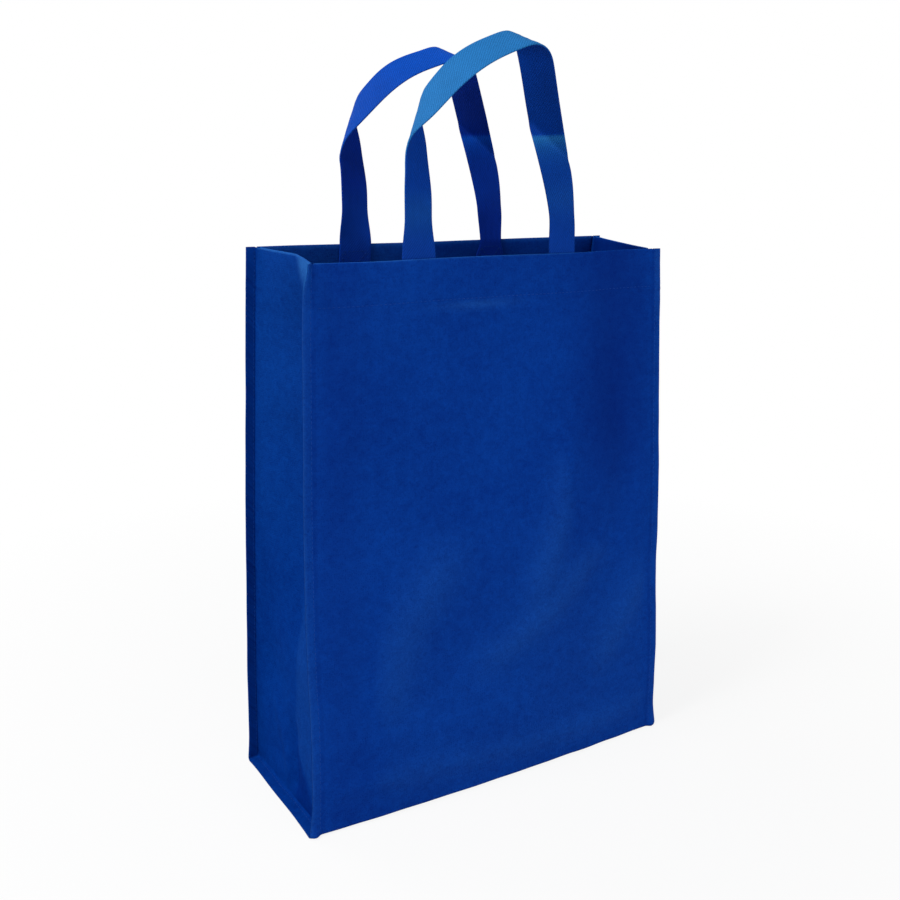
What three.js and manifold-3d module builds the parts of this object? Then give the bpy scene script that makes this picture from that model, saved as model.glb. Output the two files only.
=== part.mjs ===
// Non-woven shopping bag standing open on its base, with two strap handles up.
// Millimetres, Z up, front towards -Y, base on Z = 0.
import * as THREE from 'three';
import Module from 'manifold-3d';

const wasm = await Module();
wasm.setup();

// Sheet material
const SHEET = 0.6;
const CLEARANCE = 0.3;

// Body of the bag
const BASE_WIDTH = 300;
const BASE_DEPTH = 118.4;
const FRONT_HEIGHT = 386;
const BACK_HEIGHT = 390;
const BASE_BEND = 2.5;
const HEM = 30;
const FLANGE = 7.5;

// How far each corner of the mouth has moved from above its base corner
const MOUTH_FRONT_LEFT_IN = 3;
const MOUTH_FRONT_RIGHT_IN = 9.5;
const MOUTH_BACK_LEFT_IN = 10;
const MOUTH_BACK_RIGHT_OUT = 7;
const MOUTH_BACK_LEFT_LEAN = 4;
const MOUTH_BACK_RIGHT_LEAN = 26;

// Soft bulge of the walls
const FRONT_BULGE = 4;
const BACK_BULGE = 6;
const SIDE_BOW = 2;

// Inward fold of the side gussets
const LEFT_FOLD_MOUTH = 9;
const LEFT_FOLD_MIDDLE = 23;
const RIGHT_FOLD_MOUTH = 2;
const RIGHT_FOLD_MIDDLE = 18;
const FOLD_ROUNDING = 0.12;

// Handles
const STRAP_WIDTH = 25;
const STRAP_THICKNESS = 1.2;
const STRAP_FOOT = 28;
const FRONT_HANDLE_LENGTH = 348;
const FRONT_HANDLE_SPREAD = 116.5;
const FRONT_HANDLE_SHIFT = -6;
const BACK_HANDLE_LENGTH = 342;
const BACK_HANDLE_SPREAD = 112.5;
const BACK_HANDLE_SHIFT = -2.5;
const FOOT_TWIST = 17;
const FOOT_BLEND = 0.05;

// Bends of a handle from the left foot to the right foot.
// place and spread are shares of the handle's length, angle is in degrees, skew is the slant of the bend line.
const HANDLE_BENDS = [
  { place: 0.145, angle: -12.5, skew: -0.4, spread: 0.052 },
  { place: 0.242, angle: 55, skew: 1.8, spread: 0.062 },
  { place: 0.399, angle: 34, skew: 0.1, spread: 0.128 },
  { place: 0.544, angle: 61.5, skew: -0.2, spread: 0.051 },
  { place: 0.57, angle: 24.5, skew: -0.7, spread: 0.045 },
  { place: 0.768, angle: 50, skew: -1.2, spread: 0.029 },
  { place: 0.876, angle: -22.5, skew: 1.1, spread: 0.112 },
];

// Steps of the meshes
const WALL_ROWS = 14;
const WALL_COLUMNS = 16;
const BASE_ROWS = 6;
const GUSSET_COLUMNS = 16;
const STRAP_ROWS = 72;
const STRAP_COLUMNS = 4;
const STRAP_STEPS = 140;
const SLANT_ROUNDS = 80;
const BEND_ROWS = 3;

// Materials
const cloth = new THREE.MeshStandardMaterial({ color: 0x0b3590, roughness: 0.75, metalness: 0 });
const clothSide = new THREE.MeshStandardMaterial({ color: 0x0c3c9c, roughness: 0.75, metalness: 0 });
const strapCloth = new THREE.MeshStandardMaterial({ color: 0x1a5cb8, roughness: 0.7, metalness: 0 });

const lerp = THREE.MathUtils.lerp;
const smooth = (value, from, to) => THREE.MathUtils.smoothstep(value, from, to);

// Walls: side is -1 for the front and +1 for the back, h runs 0 at the base to 1 at the mouth
function wallHeight(side) {
  return side < 0 ? FRONT_HEIGHT : BACK_HEIGHT;
}

function wallEnd(side, end, h) {
  const bow = SIDE_BOW * Math.sin(Math.PI * h);
  const half = BASE_WIDTH / 2;
  if (side < 0) {
    const inward = end < 0 ? MOUTH_FRONT_LEFT_IN : MOUTH_FRONT_RIGHT_IN;
    return new THREE.Vector2(end * (half - inward * h + bow), -BASE_DEPTH / 2);
  }
  const inward = end < 0 ? MOUTH_BACK_LEFT_IN : -MOUTH_BACK_RIGHT_OUT;
  const lean = end < 0 ? MOUTH_BACK_LEFT_LEAN : MOUTH_BACK_RIGHT_LEAN;
  return new THREE.Vector2(end * (half - inward * h), BASE_DEPTH / 2 - lean * h * h);
}

function wallBulge(side, q, h) {
  const most = side < 0 ? FRONT_BULGE : BACK_BULGE;
  return most * (1 - q * q) * (1 - smooth(h, 0.1, 1));
}

// Point of the strip's middle surface; q runs -1 to 1 from the left edge to the right edge
function wallPoint(side, height, q, inset) {
  const h = height / wallHeight(side);
  const left = wallEnd(side, -1, h);
  const right = wallEnd(side, 1, h);
  const x = lerp(left.x, right.x, (q + 1) / 2);
  const y = lerp(left.y, right.y, (q + 1) / 2);
  return new THREE.Vector3(x, y + side * (wallBulge(side, q, h) - SHEET / 2 - inset), height);
}

function bendPoint(side, angle, q, inset) {
  const foot = wallPoint(side, 0, q, 0);
  const radius = BASE_BEND - inset;
  const y = foot.y + side * (radius * Math.sin(angle) - BASE_BEND);
  return new THREE.Vector3(foot.x, y, SHEET / 2 + BASE_BEND - radius * Math.cos(angle));
}

function basePoint(share, q, inset) {
  const front = bendPoint(-1, 0, q, inset);
  const back = bendPoint(1, 0, q, inset);
  return front.lerp(back, share);
}

// Places along a wall from the base bend to the mouth, each a function of q and inset
function wallStations(side) {
  const stations = [];
  const height = wallHeight(side);
  for (let i = 0; i <= BEND_ROWS; i += 1) {
    const angle = (i / BEND_ROWS) * (Math.PI / 2);
    stations.push({ height: 0, at: (q, inset) => bendPoint(side, angle, q, inset) });
  }
  const hemFoot = height - HEM;
  const levels = [];
  for (let i = 1; i <= WALL_ROWS; i += 1) {
    levels.push(lerp(SHEET / 2 + BASE_BEND, hemFoot - CLEARANCE, i / WALL_ROWS));
  }
  levels.push(hemFoot, hemFoot + HEM / 2, height);
  levels.forEach((level) => {
    stations.push({ height: level, at: (q, inset) => wallPoint(side, level, q, inset) });
  });
  return stations;
}

function baseStations() {
  const stations = [];
  for (let i = 1; i < BASE_ROWS; i += 1) {
    stations.push({ height: 0, at: (q, inset) => basePoint(i / BASE_ROWS, q, inset) });
  }
  return stations;
}

const frontStations = wallStations(-1);
const backStations = wallStations(1);
const stripStations = [...[...frontStations].reverse(), ...baseStations(), ...backStations];

// Shares of the half width where the seam flange begins and where the hem ends
const ROOT = 1 - FLANGE / (BASE_WIDTH / 2);
const HEM_END = 1 - (FLANGE + 5 * SHEET) / (BASE_WIDTH / 2);
const HEM_STEP = CLEARANCE / (BASE_WIDTH / 2);

// Closed solid from a grid of surface points with a thickness to each side
function sheetSolid(grid) {
  const rows = grid.length;
  const columns = grid[0].length;
  const positions = [];
  const indices = [];
  const put = (p) => positions.push(p.x, p.y, p.z);
  const normalAt = (i, j) => {
    const a = grid[Math.max(i - 1, 0)][j].point;
    const b = grid[Math.min(i + 1, rows - 1)][j].point;
    const c = grid[i][Math.max(j - 1, 0)].point;
    const d = grid[i][Math.min(j + 1, columns - 1)].point;
    return b.clone().sub(a).cross(d.clone().sub(c)).normalize();
  };
  for (const face of ['outer', 'inner']) {
    const sign = face === 'outer' ? 1 : -1;
    for (let i = 0; i < rows; i += 1) {
      for (let j = 0; j < columns; j += 1) {
        const cell = grid[i][j];
        put(cell.point.clone().addScaledVector(normalAt(i, j), sign * cell[face]));
      }
    }
  }
  const outer = (i, j) => i * columns + j;
  const inner = (i, j) => rows * columns + i * columns + j;
  const quad = (a, b, c, d) => indices.push(a, b, c, a, c, d);
  for (let i = 0; i + 1 < rows; i += 1) {
    for (let j = 0; j + 1 < columns; j += 1) {
      quad(outer(i, j), outer(i + 1, j), outer(i + 1, j + 1), outer(i, j + 1));
      quad(inner(i, j), inner(i, j + 1), inner(i + 1, j + 1), inner(i + 1, j));
    }
    const last = columns - 1;
    quad(outer(i, 0), inner(i, 0), inner(i + 1, 0), outer(i + 1, 0));
    quad(outer(i, last), outer(i + 1, last), inner(i + 1, last), inner(i, last));
  }
  for (let j = 0; j + 1 < columns; j += 1) {
    const last = rows - 1;
    quad(outer(0, j), outer(0, j + 1), inner(0, j + 1), inner(0, j));
    quad(outer(last, j), inner(last, j), inner(last, j + 1), outer(last, j + 1));
  }
  const geometry = new THREE.BufferGeometry();
  geometry.setAttribute('position', new THREE.Float32BufferAttribute(positions, 3));
  geometry.setIndex(indices);
  return geometry;
}

// Joins closed geometries into one
function joined(geometries) {
  const solids = geometries.map((geometry) => {
    const mesh = new wasm.Mesh({
      numProp: 3,
      vertProperties: Float32Array.from(geometry.attributes.position.array),
      triVerts: Uint32Array.from(geometry.index.array),
    });
    return new wasm.Manifold(mesh);
  });
  const mesh = wasm.Manifold.union(solids).getMesh();
  const geometry = new THREE.BufferGeometry();
  geometry.setAttribute('position', new THREE.Float32BufferAttribute(mesh.vertProperties, 3));
  geometry.setIndex(new THREE.Uint32BufferAttribute(mesh.triVerts, 1));
  return geometry;
}

// Strip: front, base and back in one, doubled at the hems
function stripGeometry() {
  const middle = [];
  for (let j = 0; j <= WALL_COLUMNS; j += 1) {
    middle.push(lerp(-HEM_END, HEM_END, j / WALL_COLUMNS));
  }
  const columns = [-1, -ROOT, -HEM_END - HEM_STEP, ...middle, HEM_END + HEM_STEP, ROOT, 1];
  const inHem = (station, index, q) => {
    const side = index < frontStations.length ? -1 : 1;
    return station.height >= wallHeight(side) - HEM && Math.abs(q) <= HEM_END;
  };
  const grid = stripStations.map((station, index) => columns.map((q) => ({
    point: station.at(q, 0),
    outer: SHEET / 2,
    inner: inHem(station, index, q) ? 1.5 * SHEET : 0.5 * SHEET,
  })));
  return sheetSolid(grid);
}

// Inward fold of a gusset, deepest in the middle of its depth
function foldShape(share) {
  const across = Math.abs(2 * share - 1);
  const peak = Math.hypot(0, FOLD_ROUNDING);
  const edge = Math.hypot(1, FOLD_ROUNDING);
  return (edge - Math.hypot(across, FOLD_ROUNDING)) / (edge - peak);
}

function foldDepth(end, h) {
  const mouth = end < 0 ? LEFT_FOLD_MOUTH : RIGHT_FOLD_MOUTH;
  const middle = end < 0 ? LEFT_FOLD_MIDDLE : RIGHT_FOLD_MIDDLE;
  return middle * smooth(h, 0, 0.45) - (middle - mouth) * smooth(h, 0.82, 1);
}

// Gusset: a folded side panel with a seam flange turned outwards round three sides
function gussetGeometry(end) {
  const offset = SHEET + CLEARANCE;
  const shares = [];
  for (let j = 0; j <= GUSSET_COLUMNS; j += 1) {
    shares.push(j / GUSSET_COLUMNS);
  }
  const hemRow = (height) => height >= FRONT_HEIGHT - HEM;
  const panel = frontStations.map((station, i) => {
    const front = station.at(end * ROOT, offset);
    const back = backStations[i].at(end * ROOT, offset);
    return shares.map((share) => {
      const point = front.clone().lerp(back, share);
      point.x -= end * foldDepth(end, point.z / lerp(FRONT_HEIGHT, BACK_HEIGHT, share)) * foldShape(share);
      const doubled = hemRow(station.height) && share > 0 && share < 1;
      const thick = { point, outer: SHEET / 2, inner: SHEET / 2 };
      thick[end < 0 ? 'inner' : 'outer'] = doubled ? 1.5 * SHEET : 0.5 * SHEET;
      return thick;
    });
  });
  const flange = stripStations.map((station) => {
    const columns = [ROOT - SHEET / BASE_WIDTH, (1 + ROOT) / 2, 1];
    const ordered = end < 0 ? columns.map((q) => -q).reverse() : columns;
    return ordered.map((q) => ({ point: station.at(q, offset), outer: SHEET / 2, inner: SHEET / 2 }));
  });
  return joined([sheetSolid(panel), sheetSolid(flange)]);
}

// Bending of a strap in radians over its whole length, at a share of the length
function bendAt(share) {
  let sum = 0;
  HANDLE_BENDS.forEach((bend) => {
    const away = Math.abs(share - bend.place) / bend.spread;
    const swell = away < 1 ? 0.5 + 0.5 * Math.cos(Math.PI * away) : 0;
    sum += (THREE.MathUtils.degToRad(bend.angle) * swell) / bend.spread;
  });
  return sum;
}

// Slant of the bend lines, straight across at both feet
function skewAt(share) {
  const marks = [{ place: 0, skew: 0 }, ...HANDLE_BENDS, { place: 1, skew: 0 }];
  const last = marks.length - 1;
  const found = marks.findIndex((mark) => mark.place > share);
  const next = found < 1 ? last : found;
  const from = marks[next - 1];
  const to = marks[next];
  const part = THREE.MathUtils.clamp((share - from.place) / (to.place - from.place), 0, 1);
  return lerp(from.skew, to.skew, part);
}

// Middle line of a free strap, with the directions along it and across it
function strapFrames(length) {
  const step = length / STRAP_STEPS;
  const twist = THREE.MathUtils.degToRad(FOOT_TWIST);
  const point = new THREE.Vector3(0, 0, 0);
  const along = new THREE.Vector3(0, 0, 1);
  const across = new THREE.Vector3(Math.cos(twist), Math.sin(twist), 0);
  const frames = [];
  for (let i = 0; i <= STRAP_STEPS; i += 1) {
    frames.push({ point: point.clone(), along: along.clone(), across: across.clone() });
    const share = (i + 0.5) / STRAP_STEPS;
    const axis = across.clone().addScaledVector(along, skewAt(share));
    const angle = (bendAt(share) * axis.length()) / STRAP_STEPS;
    axis.normalize();
    point.addScaledVector(along, step / 2);
    along.applyAxisAngle(axis, angle);
    across.applyAxisAngle(axis, angle);
    point.addScaledVector(along, step / 2);
  }
  return frames;
}

// Point of the free strap, at a share of its length and a reach across it
function strapPoint(frames, length, place, reach) {
  let share = place;
  for (let i = 0; i < SLANT_ROUNDS; i += 1) {
    share = place - (reach * skewAt(share)) / length;
  }
  const index = THREE.MathUtils.clamp(Math.floor(share * STRAP_STEPS), 0, STRAP_STEPS - 1);
  const part = share * STRAP_STEPS - index;
  const from = frames[index];
  const to = frames[index + 1];
  const along = from.along.clone().lerp(to.along, part);
  const across = from.across.clone().lerp(to.across, part);
  const point = from.point.clone().lerp(to.point, part);
  return point.addScaledVector(across.addScaledVector(along, skewAt(share)), reach);
}

// Handle: a strap with both feet on the inside of the hem
function handleGeometry(side, length, spread, shift) {
  const mouth = wallHeight(side);
  const inset = 1.5 * SHEET + CLEARANCE + STRAP_THICKNESS / 2;
  const left = wallEnd(side, -1, 1);
  const right = wallEnd(side, 1, 1);
  const wallShare = (x) => (2 * (x - left.x)) / (right.x - left.x) - 1;
  const leftFoot = (reach, down) => {
    return wallPoint(side, mouth - down, wallShare(shift - spread / 2 + reach), inset);
  };
  const rightFoot = (reach, down) => {
    return wallPoint(side, mouth - down, wallShare(shift + spread / 2 - reach), inset);
  };
  const frames = strapFrames(length);
  const free = (share, reach) => strapPoint(frames, length, share, reach).add(leftFoot(0, 0));
  const closing = rightFoot(0, 0).sub(free(1, 0));
  const reaches = [];
  for (let j = 0; j <= STRAP_COLUMNS; j += 1) {
    reaches.push((j / STRAP_COLUMNS - 0.5) * STRAP_WIDTH);
  }
  const rows = [];
  const footDepths = [STRAP_FOOT, STRAP_FOOT / 2];
  footDepths.forEach((down) => rows.push(reaches.map((reach) => leftFoot(reach, down))));
  for (let i = 0; i <= STRAP_ROWS; i += 1) {
    const share = i / STRAP_ROWS;
    const atStart = 1 - smooth(share, 0, FOOT_BLEND);
    const atEnd = smooth(share, 1 - FOOT_BLEND, 1);
    rows.push(reaches.map((reach) => {
      const startGap = leftFoot(reach, 0).sub(free(0, reach));
      const endGap = rightFoot(reach, 0).sub(free(1, reach)).sub(closing);
      const point = free(share, reach).addScaledVector(closing, share);
      return point.addScaledVector(startGap, atStart).addScaledVector(endGap, atEnd);
    }));
  }
  footDepths.reverse().forEach((down) => rows.push(reaches.map((reach) => rightFoot(reach, down))));
  const half = STRAP_THICKNESS / 2;
  return sheetSolid(rows.map((row) => row.map((point) => ({ point, outer: half, inner: half }))));
}

const bag = new THREE.Group();
bag.name = 'shopping_bag';

function add(name, geometry, material) {
  geometry.computeVertexNormals();
  const mesh = new THREE.Mesh(geometry, material);
  mesh.name = name;
  bag.add(mesh);
}

add('front_base_back', stripGeometry(), cloth);
add('left_gusset', gussetGeometry(-1), clothSide);
add('right_gusset', gussetGeometry(1), clothSide);
const frontHandle = handleGeometry(-1, FRONT_HANDLE_LENGTH, FRONT_HANDLE_SPREAD, FRONT_HANDLE_SHIFT);
const backHandle = handleGeometry(1, BACK_HANDLE_LENGTH, BACK_HANDLE_SPREAD, BACK_HANDLE_SHIFT);
add('front_handle', frontHandle, strapCloth);
add('back_handle', backHandle, strapCloth);

export default bag;
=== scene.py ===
import math

import bmesh
import bpy
import numpy as np
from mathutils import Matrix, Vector


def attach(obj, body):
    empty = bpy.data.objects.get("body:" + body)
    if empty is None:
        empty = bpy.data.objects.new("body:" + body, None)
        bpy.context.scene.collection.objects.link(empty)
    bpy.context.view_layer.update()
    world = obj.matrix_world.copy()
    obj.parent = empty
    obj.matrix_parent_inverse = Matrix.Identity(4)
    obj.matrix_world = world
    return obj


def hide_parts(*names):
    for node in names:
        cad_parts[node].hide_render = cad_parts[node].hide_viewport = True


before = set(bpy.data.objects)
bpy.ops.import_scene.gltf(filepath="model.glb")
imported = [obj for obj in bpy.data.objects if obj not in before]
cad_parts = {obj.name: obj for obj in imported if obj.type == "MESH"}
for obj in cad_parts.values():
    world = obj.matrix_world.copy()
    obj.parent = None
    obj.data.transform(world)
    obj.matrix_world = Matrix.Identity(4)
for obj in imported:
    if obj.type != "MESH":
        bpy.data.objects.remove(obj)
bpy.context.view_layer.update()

# Sizes are in millimetres here and become metres when a mesh is made
MM = 0.001

# Sheet
SHEET = 0.6
CLEARANCE = 0.3
LAYER = SHEET + CLEARANCE

# Body of the bag
BASE_WIDTH = 300.0
HALF_WIDTH = BASE_WIDTH / 2
BASE_DEPTH = 118.4
FRONT, BACK = -1, 1
HEIGHT = {FRONT: 386.0, BACK: 390.0}
BASE_BEND = 2.5
HEM = 30.0
FLANGE = 7.5
ROOT = 1 - FLANGE / HALF_WIDTH
HEM_LAYER = 0.75
SEAM_IN = 1.9
SEAM_ROUND = 1.5
HEM_SEAM = 27.5
FOOT_Z = SHEET / 2 + BASE_BEND
BASE_FLANGE_TURN = math.radians(4.0)
CORNER_EAR = {FRONT: 2.6, BACK: 0.5}
FLANGE_FLARE, FLARE_HEIGHT = {FRONT: 0.27, BACK: 0.12}, 22.0
EAR_HEIGHT = 10.0
EAR_CREST, EAR_END, EAR_FALL = 0.6 * FLANGE, 1.05 * FLANGE, 0.9
FLANGE_BLEND = 3.5
FLANGE_TIP, FLANGE_TIP_HEIGHT = 0.65, 8.0
FLANGE_WAVE, FLANGE_WAVE_LENGTH = np.radians(2.0), 90.0
CURL, CURL_HEIGHT = np.radians(40.0), 26.0
HEM_TURNS = np.radians([36, 72, 108, 144])
BASE_TURNS = (60, 30)

# Unevenness of the sheet: height and wave length
BROAD_WAVE, BROAD_LENGTH = 1.5, 170.0
FINE_WAVE, FINE_LENGTH = 0.18, 34.0
RIM_WAVE, RIM_WAVE_LENGTH = 0.2, 120.0
HEM_PUCKER, HEM_PUCKER_LENGTH, HEM_PUCKER_SPREAD = 0.12, 11.0, 7.0
SEAM_PUCKER, SEAM_PUCKER_LENGTH, SEAM_PUCKER_SPREAD = 0.08, 10.0, 6.0
HEM_GROOVE, SEAM_GROOVE, GROOVE_SPREAD = 0.22, 0.2, 0.9
HEM_STEP = 0.3
FOLDS_FADE = (-22.0, -4.0)

# Painted light of the sheet: painted highlights and painted sheen (above 0) and painted shade (below 0); the
# rim and edge values are painted highlights on the lit folds. A pair of ACROSS or UP is a place and its
# spread, or the two ends of a ramp
RIM_HIGHLIGHT_SPREAD = 0.55
SEAM_DEEP = -0.3
STREAK_PALE = 0.2
FLANGE_PALE = {-1: 0.05, 1: 0.03}
FLANGE_TOP_PALE = 0.08
UPPER_RIGHT_DEEP = -0.5
LEFT_DEEP = -0.2
LOWER_RIGHT_PALE = 0.03
LOWER_PALE = 0.02
FOLD_PALE = 0.085
GUSSET_PALE = 0.075
BACK_RIM_HIGHLIGHT = 0.25
GUSSET_RIM_HIGHLIGHT = 0.6
EDGE_HIGHLIGHT = 0.15
HEM_DEEP = -0.12
HEM_LEFT_PALE = 0.2
RIGHT_HEM_DEEP = -0.65
BACK_FLANGE_PALE = 0.02
MOUTH_PALE = 0.75
EDGE_SPREAD, SEAM_SPREAD = 0.6, 0.8
PAINT_FADE = (-10.0, 0.0)
FLANGE_RAMP = (1.0, 3.0)
FLANGE_TOP_UP = (290.0, 380.0)
STREAK_BELOW_HEM, STREAK_SPREAD, STREAK_ACROSS = 2.5, 3.0, (-17.0, 30.0)
UPPER_RIGHT_ACROSS, UPPER_RIGHT_UP = (104.0, 34.0), (150.0, 260.0)
LEFT_ACROSS = (-126.0, 20.0)
LOWER_UP = (60.0, 250.0)
LOWER_RIGHT_ACROSS, LOWER_RIGHT_UP = (70.0, 60.0), (80.0, 60.0)
HEM_LEFT_ACROSS = (-5.0, 45.0)
FOLD_PALE_WIDER = 1.3

# How far each corner of the mouth has moved from above its base corner
MOUTH_IN = {(FRONT, -1): 3.0, (FRONT, 1): 9.5, (BACK, -1): 10.0, (BACK, 1): -7.0}
MOUTH_LEAN = {-1: 4.0, 1: 26.0}
BULGE = {FRONT: 4.0, BACK: 6.0}
SIDE_BOW = 2.0
BACK_LEFT_BOW = 1.3
BACK_RIGHT_LIFT = 1.2
LOWER_SHIFT, LOWER_SHIFT_Z, LOWER_SHIFT_SPREAD = 2.0, 70.0, 50.0

# Straps: place, angle, skew and spread of each bend, from the left foot to the right foot
STRAP_WIDTH = 25.0
STRAP_THICKNESS = 1.2
STRAP_FOOT = 28.0
STRAP_INSET = 1.5 * SHEET + 2 * CLEARANCE + STRAP_THICKNESS / 2
FOOT_TWIST = 17.0
FOOT_BLEND = 0.08
STRAP_BENDS = np.array([
    (0.145, -12.5, -0.4, 0.052),
    (0.242, 55.0, 1.8, 0.062),
    (0.399, 34.0, 0.1, 0.128),
    (0.544, 61.5, -0.2, 0.051),
    (0.57, 24.5, -0.7, 0.03),
    (0.768, 50.0, -1.2, 0.014),
    (0.876, -22.5, 1.1, 0.112),
])
# Ramps, in shares of the length, of the band over the top of the loop where the strap's first face takes a
# painted highlight colour
BAND_BEGINS, BAND_ENDS = (0.1, 0.16), (0.68, 0.56)
OTHER_FACE = 60.0
PINCH_PLACE, PINCH_SPREAD = 0.215, 0.05
FOLD_WIDER, FOLD_PLACE, FOLD_SPREAD = 0.14, 0.225, 0.035
FOOT_PINCH_ABOVE, FOOT_PINCH_BELOW = 0.07, 16.0
# Places of the painted shade at the leg top, the painted highlight on the shin and below the knee crease, and
# the painted shade above it
LEG_TOP_PLACE, LEG_TOP_SPREAD = 0.17, 0.038
SHIN_PALE, SHIN_PLACE, SHIN_SPREAD = 0.12, 0.89, 0.035
KNEE_PLACE = 0.757
KNEE_RAMP, UPPER_BEGINS, UPPER_ENDS = (-2.0, 2.0), (-55.0, -30.0), (-4.0, 0.0)
FOLD_RAMP = (0.19, 0.22)
PUSH_BEGINS, PUSH_ENDS = (0.0, 0.1), (0.9, 1.0)
STRAP_RIDGE, RIDGE_IN, RIDGE_SPREAD = 0.12, 1.6, 0.9
STRAP_WAVE, STRAP_WAVE_LENGTH = 0.1, 23.0

# The two straps. Shoulder and leg_low are strength, place and spread of a painted shade and a painted
# highlight; knee, upper_deep and leg_top set the painted highlight below the knee and the painted shade above
# it and at the leg top. A push is place, spread and shift of a soft bend
HANDLES = {
    "front_strap": {
        "side": FRONT, "length": 348.0, "spread": 116.5, "shift": -6.0, "pinch": 0.42,
        "foot_pinch": (0.22, 0.0), "shoulder": (0.05, 0.22, 0.05), "upper_deep": 0.25,
        "knee": 9.0, "leg_top": 0.05, "leg_low": (0.16, 0.085, 0.038),
        "pushes": [
            (0.45, 0.13, (0.0, 0.0, 0.6)),
            (0.59, 0.08, (1.6, 0.0, 1.2)),
            (0.72, 0.16, (1.6, 0.0, 0.0)),
        ],
    },
    "back_strap": {
        "side": BACK, "length": 342.0, "spread": 112.5, "shift": -2.5, "pinch": 0.2,
        "foot_pinch": (0.3, 0.25), "shoulder": (0.26, 0.3, 0.14), "upper_deep": 0.42,
        "knee": 14.0, "leg_top": 0.4, "leg_low": (0.4, 0.03, 0.085),
        "pushes": [
            (0.25, 0.09, (-2.0, 0.0, 0.0)),
            (0.38, 0.12, (-0.8, 0.0, 0.6)),
            (0.5, 0.075, (0.0, 0.0, -1.8)),
            (0.7, 0.13, (1.0, 0.0, -0.4)),
        ],
    },
}


def smooth(value, start, end):
    part = np.clip((value - start) / (end - start), 0.0, 1.0)
    return part * part * (3 - 2 * part)


def swell(value, middle, spread):
    return np.exp(-(((value - middle) / spread) ** 2))


def run_length(points):
    """Length along a line of points, at each of them."""
    return np.concatenate([[0], np.cumsum(np.linalg.norm(np.diff(points, axis=0), axis=1))])


def unit(vectors):
    return vectors / np.linalg.norm(vectors, axis=-1, keepdims=True)


def waves(a, b, seed, length, count=7):
    """Soft unevenness about -1 to 1, from seeded plane waves."""
    rng = np.random.RandomState(seed)
    total = 0.0 * (a + b)
    for _ in range(count):
        heading = rng.uniform(0, math.tau)
        number = math.tau / (length * rng.uniform(0.7, 1.6))
        phase = rng.uniform(0, math.tau)
        total = total + np.sin(number * (a * math.cos(heading) + b * math.sin(heading)) + phase)
    return total / math.sqrt(count)


def fold(x, z, points, spread):
    """Height 1 along a line of points, falling to the sides and fading out at both ends."""
    points = np.array(points, float)
    starts = run_length(points)
    best = np.full(np.broadcast(x, z).shape, 1e9)
    along = np.zeros_like(best)
    for i, step in enumerate(np.diff(starts)):
        (ax, az), (bx, bz) = points[i], points[i + 1]
        part = np.clip(((x - ax) * (bx - ax) + (z - az) * (bz - az)) / step ** 2, 0, 1)
        away = np.hypot(x - ax - part * (bx - ax), z - az - part * (bz - az))
        nearer = away < best
        best = np.where(nearer, away, best)
        along = np.where(nearer, (starts[i] + part * step) / starts[-1], along)
    ends = smooth(along, 0.0, 0.3) * (1 - smooth(along, 0.7, 1.0))
    return np.exp(-((best / spread) ** 2)) * ends


# Soft folds of the walls: line of points across and up, spread, height
FOLDS = {
    FRONT: [
        ([(-75, 350), (-10, 351), (55, 349)], 4.5, 0.5),
        ([(60, 275), (54, 200), (40, 158), (20, 112)], 11.0, 2.6),
        ([(108, 182), (66, 143), (46, 123), (12, 107), (-40, 84)], 10.0, 2.4),
        ([(-25, 205), (-64, 153), (-81, 129), (-106, 48)], 15.0, 2.2),
        ([(-210, 36), (-78, 27), (-25, 24), (32, 22), (94, 22), (210, 36)], 8.0, 1.6),
        ([(150, 146), (109, 96), (76, 56)], 11.0, 2.0),
        ([(98, 400), (100, 283), (113, 212), (82, 110)], 18.0, -2.6),
        ([(-136, 300), (-126, 281), (-116, 262)], 9.0, 1.2),
    ],
    BACK: [
        ([(-80, 354), (10, 356), (70, 354)], 4.5, 1.4),
        ([(-60, 270), (-50, 205), (-25, 150), (10, 105)], 12.0, 2.4),
        ([(80, 220), (60, 160), (30, 120), (-20, 80)], 11.0, 2.2),
        ([(-210, 34), (-60, 24), (40, 23), (210, 36)], 8.0, 1.5),
        ([(-110, 190), (-95, 130), (-70, 70)], 14.0, 2.0),
    ],
}


def relief(side, q, x, z):
    """How far a wall stands out of its plain shape."""
    height = HEIGHT[side]
    past_root = (np.abs(q) - ROOT) * HALF_WIDTH
    out = BROAD_WAVE * waves(x, z, 11 + side, BROAD_LENGTH)
    out = out * smooth(z, 0, 60) * (1 - 0.6 * smooth(z, height - 90, height))
    out = out * (1 - 0.6 * smooth(np.abs(q), 0.65, 1.0))
    out += FINE_WAVE * waves(x, z, 31 + side, FINE_LENGTH)
    calm = 1 - smooth(past_root, *FOLDS_FADE)
    for points, spread, most in FOLDS[side]:
        out += most * fold(x, z, points, spread) * calm
    below = height - z
    out -= HEM_GROOVE * swell(below, HEM_SEAM, GROOVE_SPREAD)
    out += HEM_STEP * (1 - smooth(below, HEM - 0.4, HEM + 1.2))
    pucker = waves(x, 0 * x, 51 + side, HEM_PUCKER_LENGTH)
    out += HEM_PUCKER * pucker * swell(below, HEM_SEAM, HEM_PUCKER_SPREAD)
    out -= SEAM_GROOVE * swell(past_root, SEAM_IN, GROOVE_SPREAD)
    pucker = waves(z, 17.0 * np.sign(q), 71 + side, SEAM_PUCKER_LENGTH)
    return out + SEAM_PUCKER * pucker * swell(past_root, 1.0, SEAM_PUCKER_SPREAD)


def wall_end(side, end, h):
    """Place of a wall's left or right edge at a share of its height."""
    if side == FRONT:
        x = end * (HALF_WIDTH - MOUTH_IN[side, end] * h + SIDE_BOW * np.sin(np.pi * h))
        x = x + LOWER_SHIFT * swell(h * HEIGHT[side], LOWER_SHIFT_Z, LOWER_SHIFT_SPREAD)
        return x, -BASE_DEPTH / 2 + 0 * h
    x = end * (HALF_WIDTH - MOUTH_IN[side, end] * h + BACK_LEFT_BOW * np.sin(np.pi * h) * (end < 0))
    return x, BASE_DEPTH / 2 - MOUTH_LEAN[end] * h * h


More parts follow.
